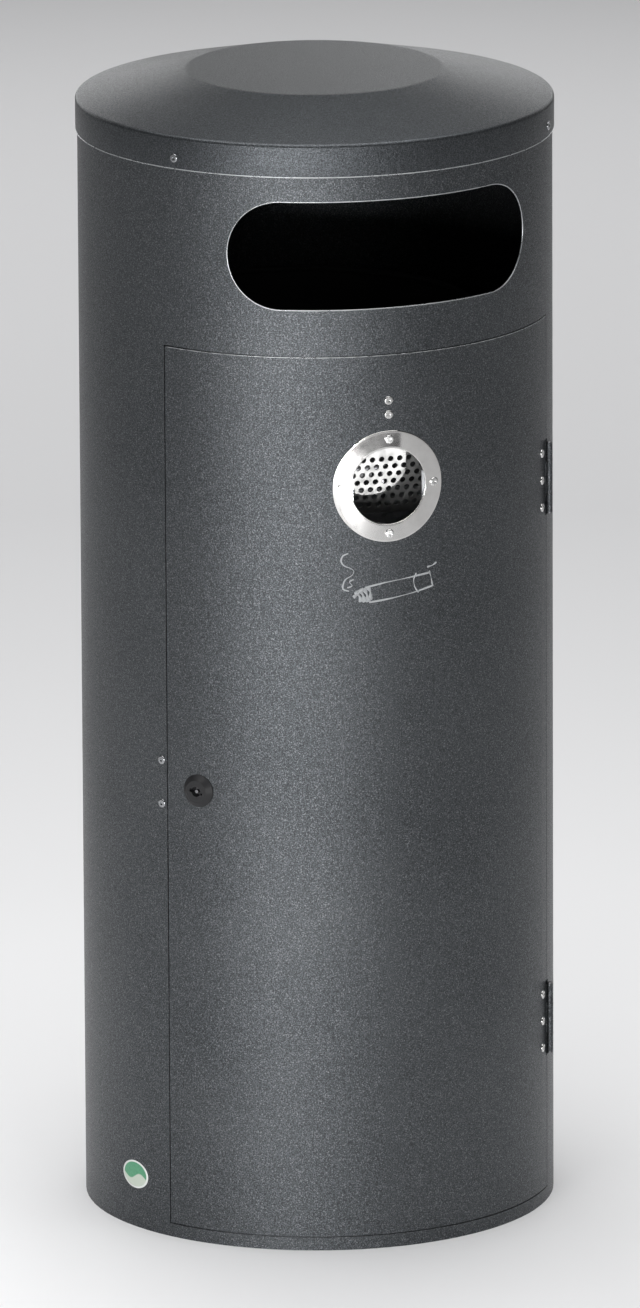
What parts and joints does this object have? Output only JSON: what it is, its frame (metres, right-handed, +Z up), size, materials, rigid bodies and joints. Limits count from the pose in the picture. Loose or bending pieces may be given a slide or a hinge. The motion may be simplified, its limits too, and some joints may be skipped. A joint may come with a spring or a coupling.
{
  "type": "ashtray bin",
  "caption": "Round freestanding steel litter bin with a wide throw-in slot under a shallow conical lid and a hinged, lockable front door that carries a ring-framed ashtray.",
  "frame": {"origin": "centre of the base on the floor", "axes": "+Z up, the door, ashtray and throw-in slot face -Y, the door's hinges are on the +X side"},
  "size_m": [0.4032, 0.4055, 0.978],
  "materials": {
    "powder_coat": "dark grey antique-silver textured powder coat",
    "stainless": "polished stainless steel with fine scratches",
    "zinc_steel": "zinc-plated sheet steel",
    "rivet_aluminium": "bare aluminium blind rivets",
    "lock_black": "black zinc die casting",
    "liner_paint": "satin black paint",
    "dark_steel": "plain dark steel",
    "black_plastic": "matt black moulded plastic",
    "label_green": "green and white printed vinyl",
    "sign_silver": "silver-grey screen print"
  },
  "bodies": {
    "housing": {"body_shell": "powder_coat", "lid": "powder_coat", "lid_rivets": "powder_coat", "base_plate": "powder_coat", "door_stop_top": "powder_coat", "door_stop_side": "powder_coat", "strike_plate": "powder_coat", "strike_rivets": "powder_coat", "hinge_upper_body_leaf": "powder_coat", "hinge_lower_body_leaf": "powder_coat", "hinge_upper_pin": "dark_steel", "hinge_lower_pin": "dark_steel", "hinge_body_rivets": "powder_coat", "oval_label": "label_green"},
    "door": {"door_panel": "powder_coat", "hinge_upper_door_leaf": "powder_coat", "hinge_lower_door_leaf": "powder_coat", "hinge_door_rivets": "rivet_aluminium", "ashtray_ring": "stainless", "ring_rivets": "rivet_aluminium", "stub_plate": "zinc_steel", "stub_plate_bracket": "zinc_steel", "bracket_rivets": "rivet_aluminium", "ash_box_cradle": "zinc_steel", "cigarette_pictogram": "sign_silver", "lock_housing": "lock_black", "lock_nut": "zinc_steel"},
    "lock_cam": {"lock_spindle": "dark_steel", "lock_tongue": "zinc_steel", "tongue_screw": "zinc_steel"},
    "ash_box": {"ash_box": "zinc_steel", "ash_box_grip": "dark_steel"},
    "liner": {"liner_wall": "liner_paint", "liner_floor": "liner_paint", "handle_ears": "liner_paint", "ear_rivets": "rivet_aluminium"},
    "liner_handle": {"liner_handle": "zinc_steel", "handle_grip": "black_plastic"}
  },
  "joints": [
    {"name": "door_hinge", "type": "hinge", "parent": "housing", "child": "door", "pos_m": [0.17057, -0.10951, 0.4], "axis": [0, 0, 1], "range_deg": [0, 165]},
    {"name": "lock_turn", "type": "hinge", "parent": "door", "child": "lock_cam", "pos_m": [-0.14968, -0.13265, 0.395], "axis": [0.7484, 0.6633, 0], "range_deg": [0, 90]},
    {"name": "ash_box_lift", "type": "slide", "parent": "door", "child": "ash_box", "axis": [0, 0, 1], "range_m": [0, 0.04]},
    {"name": "liner_lift", "type": "slide", "parent": "housing", "child": "liner", "axis": [0, 0, 1], "range_m": [0, 0.03]},
    {"name": "handle_swing", "type": "hinge", "parent": "liner", "child": "liner_handle", "pos_m": [0, 0.04375, 0.748], "axis": [-1, 0, 0], "range_deg": [0, 100]}
  ]
}
